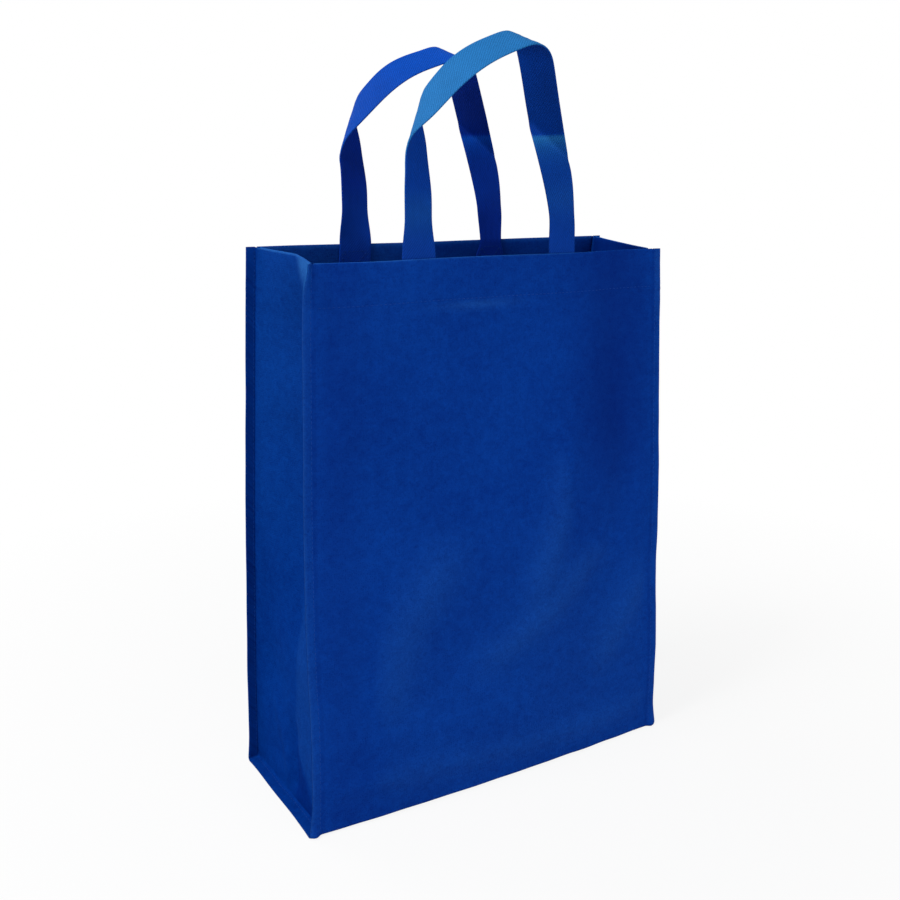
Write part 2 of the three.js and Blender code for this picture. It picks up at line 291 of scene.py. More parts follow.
def curl_angle(side, q, z):
    """Turn of a seam flange about its root, in radians."""
    angle = FLANGE_WAVE * waves(z, 40.0 * np.sign(q), 91 + side, FLANGE_WAVE_LENGTH) * smooth(z, 0, 50)
    if side == FRONT:
        return angle - CURL * smooth(z, HEIGHT[side] - CURL_HEIGHT, HEIGHT[side]) * (q < 0)
    return angle


def wall(side, z, q, inset=0.0):
    """Points of a wall; z is the height, q runs -1 to 1 across, inset is how far inside the outer layer."""
    z, q, inset = np.broadcast_arrays(*(np.asarray(value, float) for value in (z, q, inset)))
    h = z / HEIGHT[side]
    left_x, left_y = wall_end(side, -1, h)
    right_x, right_y = wall_end(side, 1, h)
    x = left_x + (right_x - left_x) * (q + 1) / 2
    y = left_y + (right_y - left_y) * (q + 1) / 2
    bulge = BULGE[side] * (1 - q * q) * (1 - smooth(h, 0.1, 1.0))
    y = y + side * (bulge + relief(side, q, x, z) - SHEET / 2 - inset)
    reach = np.maximum(np.abs(q) - ROOT, 0) * HALF_WIDTH
    angle = curl_angle(side, q, z) * smooth(reach, 0.0, FLANGE_BLEND)
    x = x + np.sign(q) * (np.cos(angle) - 1) * reach - np.sign(q) * inset * np.sin(angle)
    y = y - side * (np.sin(angle) * reach - inset * (1 - np.cos(angle)))
    x = x + np.sign(q) * FLANGE_FLARE[side] * reach * (1 - smooth(z, 0.0, FLARE_HEIGHT))
    ear = smooth(reach, 0.0, EAR_CREST) * (1 - EAR_FALL * smooth(reach, EAR_CREST, EAR_END))
    y = y + side * CORNER_EAR[side] * ear * (1 - smooth(z, 0.0, EAR_HEIGHT))
    lift = RIM_WAVE * waves(q * HALF_WIDTH, 0 * q, 111 + side, RIM_WAVE_LENGTH) * smooth(h, 0.75, 1.0)
    lift += BACK_RIGHT_LIFT * smooth(q, -0.2, 1.0) * smooth(h, 0.7, 1.0) * (side == BACK)
    tip = smooth(z, HEIGHT[side] - FLANGE_TIP_HEIGHT, HEIGHT[side] - 0.4)
    lift += FLANGE_TIP * smooth(reach, 0.0, 1.5) * tip
    return np.stack([x, y, z + lift], -1)


def bend(side, angle, q, inset=0.0):
    """Points of the round between a wall and the base; the angle is 0 at the base."""
    foot = wall(side, 0.0, q)
    radius = BASE_BEND - np.asarray(inset, float)
    y = foot[..., 1] + side * (radius * math.sin(angle) - BASE_BEND)
    z = FOOT_Z - radius * math.cos(angle) + 0 * y
    return np.stack([foot[..., 0], y, z], -1)


def base(share, q, inset=0.0):
    """Points of the base, from the front (share 0) to the back (share 1)."""
    q = np.asarray(q, float)
    point = bend(FRONT, 0.0, q, inset) * (1 - share) + bend(BACK, 0.0, q, inset) * share
    middle = smooth(share, 0.0, 0.25) * (1 - smooth(share, 0.75, 1.0))
    reach = np.maximum(np.abs(q) - ROOT, 0) * HALF_WIDTH
    angle = BASE_FLANGE_TURN * smooth(share, 0.0, 0.06) * (1 - smooth(share, 0.94, 1.0))
    angle = angle * smooth(reach, 0.0, FLANGE_BLEND)
    point[..., 0] += np.sign(q) * ((np.cos(angle) - 1) * reach - inset * np.sin(angle))
    point[..., 2] += np.sin(angle) * reach - inset * (1 - np.cos(angle))
    point[..., 2] += middle * np.maximum(0.6 + 0.4 * waves(point[..., 0], point[..., 1], 131, 80.0), 0)
    return point


def marks(start, end, coarse, fine, places, reach):
    """Places from start to end, closer together near the given places."""
    line = np.linspace(start, end, 4000)
    near = np.zeros_like(line)
    for place in places:
        near = np.maximum(near, swell(line, place, reach))
    density = 1 / (coarse + (fine - coarse) * near)
    count = np.concatenate([[0], np.cumsum((density[1:] + density[:-1]) / 2)]) * abs(line[1] - line[0])
    steps = int(math.ceil(count[-1]))
    return np.interp(np.linspace(0, count[-1], steps + 1), count, line)


def link(name, data):
    piece = bpy.data.objects.new(name, data)
    bpy.context.scene.collection.objects.link(piece)
    return piece


def applied(piece):
    """Turns a piece's modifiers into plain mesh."""
    graph = bpy.context.evaluated_depsgraph_get()
    mesh = bpy.data.meshes.new_from_object(piece.evaluated_get(graph), depsgraph=graph)
    piece.modifiers.clear()
    piece.data = mesh
    return piece


def plain_mesh(name, points, faces, flat, sharp=45.0, painted_light=None):
    """Smooth shaded piece from points in millimetres, with flat places on the cloth as its UV map."""
    mesh = bpy.data.meshes.new(name)
    mesh.from_pydata((np.asarray(points) * MM).tolist(), [], faces)
    # Painted highlights (above 0) and painted shade (below 0), one value per point
    if painted_light is not None:
        mesh.attributes.new("painted_light", "FLOAT", "POINT").data.foreach_set("value", np.asarray(painted_light, np.float32))
    if flat is not None:
        layer = mesh.uv_layers.new(name="flat")
        corners = np.zeros(len(mesh.loops), np.int32)
        mesh.loops.foreach_get("vertex_index", corners)
        layer.data.foreach_set("uv", (np.asarray(flat)[corners] * MM).astype(np.float32).ravel())
    mesh.shade_smooth()
    mesh.set_sharp_from_angle(angle=math.radians(sharp))
    mesh.validate()
    return link(name, mesh)


def cloth_piece(name, points, faces, flat, painted_light):
    """Closed sheet of the cloth's thickness about its middle surface."""
    used = sorted({v for face in faces for v in face})
    place = {v: i for i, v in enumerate(used)}
    faces = [tuple(place[v] for v in face) for face in faces]
    points, flat, painted_light = (np.asarray(values)[used] for values in (points, flat, painted_light))
    piece = plain_mesh(name, points, faces, flat, 180.0, painted_light)
    facing = bmesh.new()
    facing.from_mesh(piece.data)
    bmesh.ops.recalc_face_normals(facing, faces=facing.faces)
    facing.to_mesh(piece.data)
    facing.free()
    thick = piece.modifiers.new("thickness", "SOLIDIFY")
    thick.thickness = SHEET * MM
    thick.offset = 0
    thick.use_even_offset = True
    thick.use_quality_normals = True
    applied(piece)
    piece.data.shade_smooth()
    piece.data.set_sharp_from_angle(angle=math.radians(50))
    return piece


def quads(rows, columns, keep=None):
    """Faces of a grid of points; keep says which cells stay."""
    made = []
    for i in range(rows - 1):
        for j in range(columns - 1):
            if keep is None or keep(i, j):
                a = i * columns + j
                made.append((a, a + columns, a + columns + 1, a + 1))
    return made


def body_piece():
    """Front, base and back as one strip, with both hems turned in."""
    root = HALF_WIDTH * ROOT
    across = marks(-HALF_WIDTH, HALF_WIDTH, 3.4, 0.75, (-root - 2, root + 2), 5.0)
    q = across / HALF_WIDTH
    half_fold = HEM_LAYER / 2

    def hem_and_wall(side):
        height = HEIGHT[side]
        top = height - half_fold
        hem_levels = marks(height - HEM, top, 3.2, 0.9, (height - HEM_SEAM,), 3.0)
        made = [(wall(side, z, q, HEM_LAYER), True) for z in hem_levels]
        for turn in HEM_TURNS:
            inset = half_fold * (1 + math.cos(turn))
            made.append((wall(side, top + half_fold * math.sin(turn), q, inset), True))
        fine = (height - HEM_SEAM - 1.5, top, FOOT_Z)
        made += [(wall(side, z, q), False) for z in marks(FOOT_Z, top, 3.4, 0.9, fine, 5.0)[::-1]]
        made += [(bend(side, angle, q), False) for angle in np.radians(BASE_TURNS)]
        return made

    front, back = hem_and_wall(FRONT), hem_and_wall(BACK)
    middle = [(base(share, q), False) for share in np.linspace(0, 1, 33)]
    rows = front + middle + back[::-1]
    in_hem = [row[1] for row in rows]
    points = np.stack([row[0] for row in rows])
    along = run_length(points[:, points.shape[1] // 2])
    flat = np.stack(np.broadcast_arrays(across[None, :], along[:, None]), -1)

    def keep(i, j):
        inside = max(abs(q[j]), abs(q[j + 1])) <= ROOT
        return inside or not (in_hem[i] or in_hem[i + 1])

    faces = quads(points.shape[0], points.shape[1], keep)
    fold_at = {FRONT: HEM, BACK: along[-1] - HEM}
    # Painted highlights along the rim folds and the outer flange edges and strips, painted shade inside the
    # turned-in hems and along the seam roots
    rims = swell(along, fold_at[FRONT], RIM_HIGHLIGHT_SPREAD) + BACK_RIM_HIGHLIGHT * swell(along, fold_at[BACK], RIM_HIGHLIGHT_SPREAD)
    inside = HEM_DEEP * ((along < fold_at[FRONT] - 1) | (along > fold_at[BACK] + 1))
    edge = EDGE_HIGHLIGHT * swell(HALF_WIDTH - np.abs(across), 0, EDGE_SPREAD)
    seam = SEAM_DEEP * swell(np.abs(across), root, SEAM_SPREAD)
    past_root = np.abs(across) - root
    edge = edge + np.where(across < 0, FLANGE_PALE[-1], FLANGE_PALE[1]) * smooth(past_root, *FLANGE_RAMP)

    # Painted light on the outside of the front and on the inside of the back hem: painted highlights below the
    # hem, at the top of the right flange, on the fold crests and low on the front, painted shade at its upper
    # right and left, and a painted highlight inside the back hem on the left
    up = (fold_at[FRONT] + HEIGHT[FRONT] - along)[:, None]
    outside = (along > fold_at[FRONT])[:, None]
    calm = 1 - smooth(past_root, *PAINT_FADE)
    streak_up = HEIGHT[FRONT] - HEM - STREAK_BELOW_HEM
    streak = STREAK_PALE * swell(up, streak_up, STREAK_SPREAD) * swell(across, *STREAK_ACROSS)
    right_flange = smooth(across - root, *FLANGE_RAMP)
    streak += FLANGE_TOP_PALE * right_flange * smooth(up, *FLANGE_TOP_UP) * outside
    upper_right = swell(across, *UPPER_RIGHT_ACROSS) * smooth(up, *UPPER_RIGHT_UP)
    streak += UPPER_RIGHT_DEEP * upper_right * outside * calm
    for ridge, spread, most in FOLDS[FRONT][1:]:
        crest = fold(across + 0 * up, up + 0 * across, ridge, FOLD_PALE_WIDER * spread)
        streak += FOLD_PALE * max(most, 0) / 2 * crest * calm
    streak += LEFT_DEEP * swell(across, *LEFT_ACROSS) * (up > 0) * outside * calm
    streak += LOWER_PALE * (1 - smooth(up, *LOWER_UP)) * (up > 0) * calm
    lower_right = swell(across, *LOWER_RIGHT_ACROSS) * swell(up, *LOWER_RIGHT_UP)
    streak += LOWER_RIGHT_PALE * lower_right * calm
    in_back_hem = (along > fold_at[BACK] + 1)[:, None]
    streak += HEM_LEFT_PALE * smooth(-across, *HEM_LEFT_ACROSS) * in_back_hem
    painted_light = np.maximum(rims[:, None], edge[None, :]) + inside[:, None] + seam[None, :] + streak
    return cloth_piece("bag_body", points.reshape(-1, 3), faces, flat.reshape(-1, 2), painted_light.ravel())


# Fold of the side gussets
GUSSET = {
    -1: {"mouth": 9.0, "middle": 20.0, "low": 6.0, "apex": 42.0, "seed": 151},
    1: {"mouth": 2.0, "middle": 18.0, "low": 6.0, "apex": 46.0, "seed": 152},
}
CREASE_ROUND, FORK_ROUND = 0.05, 0.004
GUSSET_WIDTH = 120.0
GUSSET_DEEPEST_Z, GUSSET_MOUTH_BEGINS = 215.0, 0.86
GUSSET_WAVE, GUSSET_WAVE_LENGTH = 1.3, 70.0
GUSSET_DENTS = {
    -1: [
        ([(4, 66), (-2, 40), (-8, 15), (-10, -14)], 8.0, 3.2),
        ([(44, 84), (24, 46), (2, 14), (-8, -10)], 6.0, -1.5),
        ([(8, 48), (-22, 27), (-66, -6)], 5.0, -1.0),
    ],
    1: [
        ([(-4, 70), (2, 42), (8, 15), (10, -14)], 8.0, 2.6),
        ([(-44, 84), (-24, 46), (-2, 14), (8, -10)], 6.0, -1.3),
    ],
}
GUSSET_HEM_MARGIN = 4.0
INWARD_STEP = 0.5
GUSSET_FLAT_WIDTH, HEM_FLAT_START, HEM_FLAT_STEP = 124.0, 387.0, 2.5
# Painted shade in the fork triangle at the foot; painted light on the front strip, on the upper gusset, at the
# front of the mouth, and on its seam round and flange
FORK_DEEP = -0.45
STRIP_PALE, STRIP_UP = 0.09, (120.0, 200.0)
GUSSET_PALE_UP = (60.0, 340.0)
MOUTH_PALE_DOWN, MOUTH_PALE_SHARES = (1.0, 27.0), (0.3, 0.52)
ROUND_PALE_DOWN, FLANGE_PALE_DOWN = 18.0, (24.0, 10.0)
BASE_FLANGE_Z = 6.0


def gusset_depth(end, z, share):
    """How far a gusset is folded into the bag: one crease that forks to the two base corners."""
    shape = GUSSET[end]
    height = (HEIGHT[FRONT] + HEIGHT[BACK]) / 2
    across = np.abs(2 * share - 1)
    whole = np.hypot(1, CREASE_ROUND)
    sharp = (whole - np.hypot(across, CREASE_ROUND)) / (whole - CREASE_ROUND)
    rise = z / shape["apex"]
    fork = (sharp + rise - np.sqrt((sharp - rise) ** 2 + FORK_ROUND)) / 2
    deeper = smooth(z, shape["apex"], GUSSET_DEEPEST_Z)
    depth = shape["low"] + (shape["middle"] - shape["low"]) * deeper
    depth = depth - (shape["middle"] - shape["mouth"]) * smooth(z / height, GUSSET_MOUTH_BEGINS, 1.0)
    lumps = GUSSET_WAVE * waves(GUSSET_WIDTH * share, z, shape["seed"], GUSSET_WAVE_LENGTH)
    lumps = lumps * smooth(sharp, 0.0, 0.35) * smooth(z, 0, 40)
    dents = 0.0
    for points, spread, most in GUSSET_DENTS[end]:
        dents += most * fold(GUSSET_WIDTH * (share - 0.5), z, points, spread) * smooth(z, FOOT_Z, 12.0)
    return depth * np.maximum(fork, 0) + lumps + dents * smooth(sharp, 0.0, 0.12)


def gusset_piece(end):
    """Folded side panel with its seam flange turned outwards round three sides and its hem turned in."""
    tall = HEIGHT[FRONT]
    inset = LAYER + SEAM_ROUND
    root = end * ROOT
    front_half = marks(0, 0.5, 0.03, 0.008, (0.0, 0.5), 0.06)
    shares = np.concatenate([front_half[:-1], 1 - front_half[::-1]])
    half_fold = HEM_LAYER / 2
    levels = marks(0, 1, 3.4 / tall, 1.0 / tall, (0.0, 1 - HEM_SEAM / tall, 1.0), 0.012)
    heights = {side: FOOT_Z + (HEIGHT[side] - half_fold - FOOT_Z) * levels for side in (FRONT, BACK)}
    edges = {side: wall(side, heights[side], root, inset) for side in (FRONT, BACK)}
    for side in (FRONT, BACK):
        edges[side][0] = bend(side, math.pi / 4, root, inset)
    panel = edges[FRONT][:, None] * (1 - shares[:, None]) + edges[BACK][:, None] * shares[:, None]
    panel[..., 0] -= end * gusset_depth(end, panel[..., 2], shares[None, :])
    rows, columns = panel.shape[:2]
    points = list(panel.reshape(-1, 3))
    width = GUSSET_FLAT_WIDTH * shares
    flat = [(w, v) for v in tall * levels for w in width]
    down = tall * (1 - levels)
    # Painted highlight at the front of the left gusset's mouth and along the rim fold; on the left gusset,
    # painted shade in the fork triangle, and painted light on the front strip and higher up
    mouth = MOUTH_PALE * (end < 0) * (1 - smooth(down, *MOUTH_PALE_DOWN))[:, None]
    mouth = mouth * (1 - smooth(shares, *MOUTH_PALE_SHARES))[None, :]
    rim = GUSSET_RIM_HIGHLIGHT * swell(down, 0, RIM_HIGHLIGHT_SPREAD)[:, None]
    beside, up = GUSSET_WIDTH * (shares - 0.5)[None, :], panel[..., 2]
    over_fork = up - GUSSET[end]["apex"] * (1 + 2 * beside / GUSSET_WIDTH)
    facets = FORK_DEEP * (1 - smooth(over_fork, -5.0, 2.0)) * smooth(0.24 * up - 10 - beside, -2.0, 5.0)
    strip = smooth(over_fork, 0.0, 4.0) * smooth(-beside, -1.0, 4.0) * (1 - smooth(up, *STRIP_UP))
    facets += STRIP_PALE * strip + GUSSET_PALE * smooth(up, *GUSSET_PALE_UP)
    painted_light = list((np.maximum(rim, mouth) + facets * (end < 0)).ravel())
    faces = quads(rows, columns)

    # Hem, turned in over the mouth
    top = panel[-1]
    tangent = np.gradient(top, axis=0)
    inward = unit(np.stack([tangent[:, 1], -tangent[:, 0], 0 * tangent[:, 0]], -1))
    inward *= -end * np.sign(inward[:, :1])
    turned_in = []
    for turn in HEM_TURNS:
        out = inward * half_fold * (1 - math.cos(turn))
        turned_in.append(top + out + np.array([0, 0, half_fold * math.sin(turn)]))
    for down in np.linspace(0, HEM, 10):
        at = np.searchsorted(levels, 1 - down / tall)
        part = (1 - down / tall - levels[at - 1]) / (levels[at] - levels[at - 1])
        turned_in.append(panel[at - 1] * (1 - part) + panel[at] * part + inward * HEM_LAYER)
    margin = GUSSET_HEM_MARGIN
    hem_columns = [j for j in range(columns) if margin < width[j] < width[-1] - margin]
    hem_tone = HEM_DEEP if end < 0 else RIGHT_HEM_DEEP
    previous = [(rows - 1) * columns + j for j in hem_columns]
    for level, line in enumerate(turned_in):
        row = list(range(len(points), len(points) + len(hem_columns)))
        points += [line[j] for j in hem_columns]
        flat += [(width[j], HEM_FLAT_START + HEM_FLAT_STEP * level) for j in hem_columns]
        # Painted highlight on the turned rim, painted shade on the inside of the hem
        painted_light += [GUSSET_RIM_HIGHLIGHT if level < len(HEM_TURNS) else hem_tone] * len(hem_columns)
        for a in range(len(row) - 1):
            faces.append((previous[a], previous[a + 1], row[a + 1], row[a]))
        previous = row

    # Flange: stations round the panel's edge, each with its panel point and its line across the flange
    reach = np.concatenate([[0.0], np.linspace(SEAM_ROUND, FLANGE, 6)])
    q = end * (ROOT + reach / HALF_WIDTH)
    stations = []
    corner = {FRONT: 0, BACK: columns - 1}

    def along_wall(side, order):
        lines = wall(side, heights[side][:, None], q[None, :], LAYER)
        deeper = wall(side, heights[side], root, LAYER + INWARD_STEP)
        for i in order:
            stations.append((i * columns + corner[side], lines[i], deeper[i]))

    def round_bend(side, angles):
        for angle in np.radians(angles):
            deeper = bend(side, angle, root, LAYER + INWARD_STEP)
            stations.append((corner[side], bend(side, angle, q, LAYER), deeper))

    along_wall(FRONT, range(rows - 1, -1, -1))
    round_bend(FRONT, (*BASE_TURNS, 0))
    for j in range(1, columns - 1):
        deeper = base(shares[j], np.array(root), LAYER + INWARD_STEP)
        stations.append((j, base(shares[j], q, LAYER), deeper))
    round_bend(BACK, (0, *BASE_TURNS[::-1]))
    along_wall(BACK, range(rows))
    outward = np.array([end, 0.0, 0.0])
    ribbons = []
    for index, line, deeper in stations:
        inside = unit(deeper - line[0])
        centre = line[0] + SEAM_ROUND * (inside + outward)
        ribbon = [index]
        for turn in np.radians([60, 30]):
            ribbon.append(len(points))
            points.append(centre - SEAM_ROUND * (inside * math.cos(turn) + outward * math.sin(turn)))
            flat.append((flat[index][0], flat[index][1] - 1.0))
            # Painted highlight on the seam round near the front of the mouth
            painted_light.append(mouth[-1, 0] * (points[-1][2] > tall - ROUND_PALE_DOWN and points[-1][1] < 0))
        for point, far in zip(line[1:], reach[1:]):
            ribbon.append(len(points))
            points.append(point)
            flat.append((flat[index][0], flat[index][1] - 1.0 - far))
            # Painted highlight on the flange near the mouth, slight painted light on the back and base flanges
            near_mouth = MOUTH_PALE * smooth(point[2], *(tall - d for d in FLANGE_PALE_DOWN)) * (end < 0)
            painted_light.append(BACK_FLANGE_PALE if point[1] > 0 or point[2] < BASE_FLANGE_Z else near_mouth)
        ribbons.append(ribbon)
    for one, two in zip(ribbons, ribbons[1:]):
        for a in range(len(one) - 1):
            ring = [one[a], one[a + 1], two[a + 1], two[a]]
            faces.append(tuple(dict.fromkeys(ring)))
    name = "left_gusset_cloth" if end < 0 else "right_gusset_cloth"
    return cloth_piece(name, points, faces, flat, painted_light)


def strap_skew(share):
    """Slant of the bending line at a share of the strap's length."""
    places = np.concatenate([[0], STRAP_BENDS[:, 0], [1]])
    skews = np.concatenate([[0], STRAP_BENDS[:, 2], [0]])
    return np.interp(share, places, skews)


def strap_bending(share):
    """Bending at a share of the strap's length, in radians for the whole length."""
    total = 0.0
    for place, angle, _, spread in STRAP_BENDS:
        away = abs(share - place) / spread
        if away < 1:
            total += math.radians(angle) * (0.5 + 0.5 * math.cos(math.pi * away)) / spread
    return total


def turned(vector, axis, angle):
    """A vector turned about an axis of length 1."""
    cosine, sine = math.cos(angle), math.sin(angle)
    return vector * cosine + np.cross(axis, vector) * sine + axis * (axis @ vector) * (1 - cosine)


def strap_surface(length, share, reach):
    """Free strap: a flat band bent along slanted lines, starting upwards at the origin."""
    count = 280
    step = length / count
    twist = math.radians(FOOT_TWIST)
    point = np.zeros(3)
    along = np.array([0, 0, 1.0])
    across = np.array([math.cos(twist), math.sin(twist), 0])
    line = []
    for i in range(count + 1):
        line.append(np.concatenate([point, along, across]))
        place = (i + 0.5) / count
        axis = across + along * strap_skew(place)
        size = np.linalg.norm(axis)
        angle = strap_bending(place) * size / count
        point = point + along * step / 2
        along, across = turned(along, axis / size, angle), turned(across, axis / size, angle)
        point = point + along * step / 2
    line = np.array(line)
    bent = share + 0 * reach
    for _ in range(80):
        bent = share - reach * strap_skew(bent) / length
    values = np.stack([np.interp(bent, np.linspace(0, 1, count + 1), line[:, k]) for k in range(9)], -1)
    before = np.minimum(bent, 0)[..., None] * length
    after = np.maximum(bent - 1, 0)[..., None] * length
    middle = values[..., 0:3] + values[..., 3:6] * (before + after)
    return middle + reach[..., None] * (values[..., 6:9] + strap_skew(bent)[..., None] * values[..., 3:6])


def foot_point(handle, end, reach, down, inset):
    """Points of a strap foot on the inside of the hem; the right foot is gathered towards the rim."""
    side = handle["side"]
    left, right = wall_end(side, -1, 1.0)[0], wall_end(side, 1, 1.0)[0]
    gathered = np.where(reach < 0, *handle["foot_pinch"]) * (end > 0)
    narrowed = reach * (1 - gathered * (1 - smooth(down, 0.0, FOOT_PINCH_BELOW)))
    x = handle["shift"] + end * (handle["spread"] / 2 - narrowed)
    return wall(side, HEIGHT[side] - down, 2 * (x - left) / (right - left) - 1, inset)


def strap_grid(handle, reaches):
    """Middle surface of a strap with both feet on the inside of the hem, and the length along it."""
    length = handle["length"]
    gathered = np.where(reaches < 0, *handle["foot_pinch"])

    def foot(end, down):
        return foot_point(handle, end, reaches, down, STRAP_INSET)

    middle = len(reaches) // 2
    left_foot, right_foot = foot(-1, 0.0), foot(1, 0.0)
    shares = np.linspace(0, 1, 220)
    pinch = handle["pinch"] * swell(shares, PINCH_PLACE, PINCH_SPREAD)[:, None] * (reaches < 0)[None, :]
    pinch = pinch - FOLD_WIDER * swell(shares, FOLD_PLACE, FOLD_SPREAD)[:, None] * (reaches > 0)[None, :]
    pinch = pinch + smooth(shares, 1 - FOOT_PINCH_ABOVE, 1.0)[:, None] * gathered[None, :]
    free = strap_surface(length, shares[:, None], reaches[None, :] * (1 - pinch)) + left_foot[middle]
    closing = right_foot[middle] - free[-1, middle]
    start_gap = left_foot - free[0]
    end_gap = right_foot - free[-1] - closing
    free += shares[:, None, None] * closing
    loose = smooth(shares, *PUSH_BEGINS) * (1 - smooth(shares, *PUSH_ENDS))
    for place, spread, push in handle["pushes"]:
        free += (swell(shares, place, spread) * loose)[:, None, None] * np.array(push)
    free += (1 - smooth(shares, 0, FOOT_BLEND))[:, None, None] * start_gap
    free += smooth(shares, 1 - FOOT_BLEND, 1)[:, None, None] * end_gap
    depths = np.linspace(STRAP_FOOT, 0, 15)[:-1]
    rows = [foot(-1, d) for d in depths] + list(free) + [foot(1, d) for d in depths[::-1]]
    along = np.concatenate([-depths, shares * length, length + depths[::-1]])
    return np.array(rows), along


def strap_piece(name, handle):
    """Pressed strap with rounded edges, a little thicker where its edges are folded."""
    half = STRAP_WIDTH / 2
    edge = STRAP_THICKNESS / 2
    rim = half - edge * (1 - np.sin(np.radians([90, 62, 36, 12])))
    inner = np.linspace(0, half - edge, 8)
    positive = np.concatenate([inner, rim[::-1]])
    reaches = np.concatenate([-positive[:0:-1], positive])
    grid, along = strap_grid(handle, reaches)
    rows, columns = grid.shape[:2]
    normal = unit(np.cross(np.gradient(grid, axis=0), np.gradient(grid, axis=1)))
    past = np.clip((np.abs(reaches) - (half - edge)) / edge, 0, 1)
    ridge = STRAP_RIDGE * swell(np.abs(reaches), half - RIDGE_IN, RIDGE_SPREAD)
    thick = edge * np.sqrt(1 - past ** 2) + ridge
    thick[[0, -1]] = 0
    wobble = STRAP_WAVE * waves(along[:, None], 3 * reaches[None, :], 171, STRAP_WAVE_LENGTH)
    upper = grid + normal * (thick[None, :] + wobble)[..., None]
    lower = grid - normal * (thick[None, :] - wobble)[..., None]

    # Painted highlights and painted shade along the strap: a highlight below the knee crease, shade above it,
    # at the shoulder and at the leg top, and highlights low on the leg and on the shin
    below = along - KNEE_PLACE * handle["length"]
    tone = smooth(below, *KNEE_RAMP) * np.exp(-np.maximum(below, 0) / handle["knee"])
    upper_leg = smooth(below, *UPPER_BEGINS) * (1 - smooth(below, *UPPER_ENDS))
    tone -= handle["upper_deep"] * upper_leg
    place = along / handle["length"]
    past_fold = smooth(place, *FOLD_RAMP)
    deep, middle, spread = handle["shoulder"]
    tone -= deep * swell(place, middle, spread) * past_fold
    tone -= handle["leg_top"] * swell(place, LEG_TOP_PLACE, LEG_TOP_SPREAD) * (1 - past_fold)
    pale, middle, spread = handle["leg_low"]
    tone += pale * swell(place, middle, spread)
    tone += SHIN_PALE * swell(place, SHIN_PLACE, SHIN_SPREAD)

    points, flat, painted_light, index = [], [], [], np.zeros((2, rows, columns), int)
    for face, layer in enumerate((upper, lower)):
        for i in range(rows):
            for j in range(columns):
                if face and j in (0, columns - 1):
                    index[face, i, j] = index[0, i, j]
                    continue
                index[face, i, j] = len(points)
                points.append(layer[i, j])
                flat.append((reaches[j] + OTHER_FACE * face, along[i]))
                painted_light.append(tone[i])
    faces = []
    a, b = index
    for i in range(rows - 1):
        for j in range(columns - 1):
            faces.append((a[i, j], a[i + 1, j], a[i + 1, j + 1], a[i, j + 1]))
            faces.append((b[i, j], b[i, j + 1], b[i + 1, j + 1], b[i + 1, j]))
    for i, flip in ((0, 1), (rows - 1, -1)):
        for j in range(columns - 1):
            ring = [a[i, j], a[i, j + 1], b[i, j + 1], b[i, j]]
            faces.append(tuple(dict.fromkeys(ring))[::flip])
    faces = [tuple(int(v) for v in face) for face in faces]
    return plain_mesh(name, points, faces, flat, 60.0, painted_light)


# Thread
STITCH_PITCH = 3.3
STITCH_LENGTH = 2.7
THREAD = 0.19
RING = 6
FOOT_SEAM_IN, FOOT_SEAM_TOP = 2.5, 5.0
HEM_SEAM_END = 0.012


def stitch_piece(name, runs):
    """Row of thread stitches; a run is points on a surface and the outward direction there."""
    points, faces = [], []
    lifts = np.array([-0.22, 0.06, 0.14, 0.14, 0.06, -0.22])
    sizes = np.array([0.5, 0.95, 1.0, 1.0, 0.95, 0.5]) * THREAD
    for line, outward in runs:
        line, outward = np.asarray(line), np.asarray(outward)
        length = run_length(line)
        count = int(length[-1] / STITCH_PITCH)
        lead = (length[-1] - count * STITCH_PITCH) / 2
        for n in range(count):
            begin = lead + n * STITCH_PITCH + (STITCH_PITCH - STITCH_LENGTH) / 2
            at = begin + np.linspace(0, STITCH_LENGTH, len(lifts))
            centre = np.stack([np.interp(at, length, line[:, k]) for k in range(3)], -1)
            up = unit(np.stack([np.interp(at, length, outward[:, k]) for k in range(3)], -1))
            beside = np.cross(unit(np.gradient(centre, axis=0)), up)
            centre = centre + up * lifts[:, None]
            start = len(points)
            for k in range(len(lifts)):
                for turn in np.arange(RING) * math.tau / RING:
                    points.append(centre[k] + sizes[k] * (up[k] * math.cos(turn) + beside[k] * math.sin(turn)))
            for k in range(len(lifts) - 1):
                for r in range(RING):
                    a, b = start + k * RING + r, start + k * RING + (r + 1) % RING
                    faces.append((a, b, b + RING, a + RING))
            last = start + (len(lifts) - 1) * RING
            faces.append(tuple(start + r for r in range(RING))[::-1])
            faces.append(tuple(last + r for r in range(RING)))
    return plain_mesh(name, points, faces, None, 80.0)


def lined(points, outward):
    """A run of stitches with the same outward direction all along."""
    return points, np.broadcast_to(np.asarray(outward, float), points.shape)


def seam_runs():
    """Both faces of the seams that join the gussets to the strip."""
    runs = []
    for end in (-1, 1):
        q = end * (ROOT + SEAM_IN / HALF_WIDTH)
        for inset, sign in ((-SHEET / 2, 1), (LAYER + SHEET / 2, -1)):
            for side in (FRONT, BACK):
                z = np.linspace(FOOT_Z + 1.5, HEIGHT[side] - 1.5, 260)
                line = wall(side, z, q, inset)
                deep = wall(side, z, q, inset + 0.5)
                runs.append((line, (line - deep) * sign))
            share = np.linspace(0.02, 0.98, 90)
            if sign < 0:
                runs.append(lined(np.array([base(s, q, inset) for s in share]), (0, 0, 1)))
    return runs


def hem_runs():
    """Seams that hold the hems of the front and the back down, seen outside and inside."""
    runs = []
    q = np.linspace(-ROOT + HEM_SEAM_END, ROOT - HEM_SEAM_END, 300)
    for side in (FRONT, BACK):
        z = HEIGHT[side] - HEM_SEAM
        runs.append(lined(wall(side, z, q, -SHEET / 2), (0, side, 0)))
        runs.append(lined(wall(side, z, q, HEM_LAYER + SHEET / 2), (0, -side, 0)))
    return runs


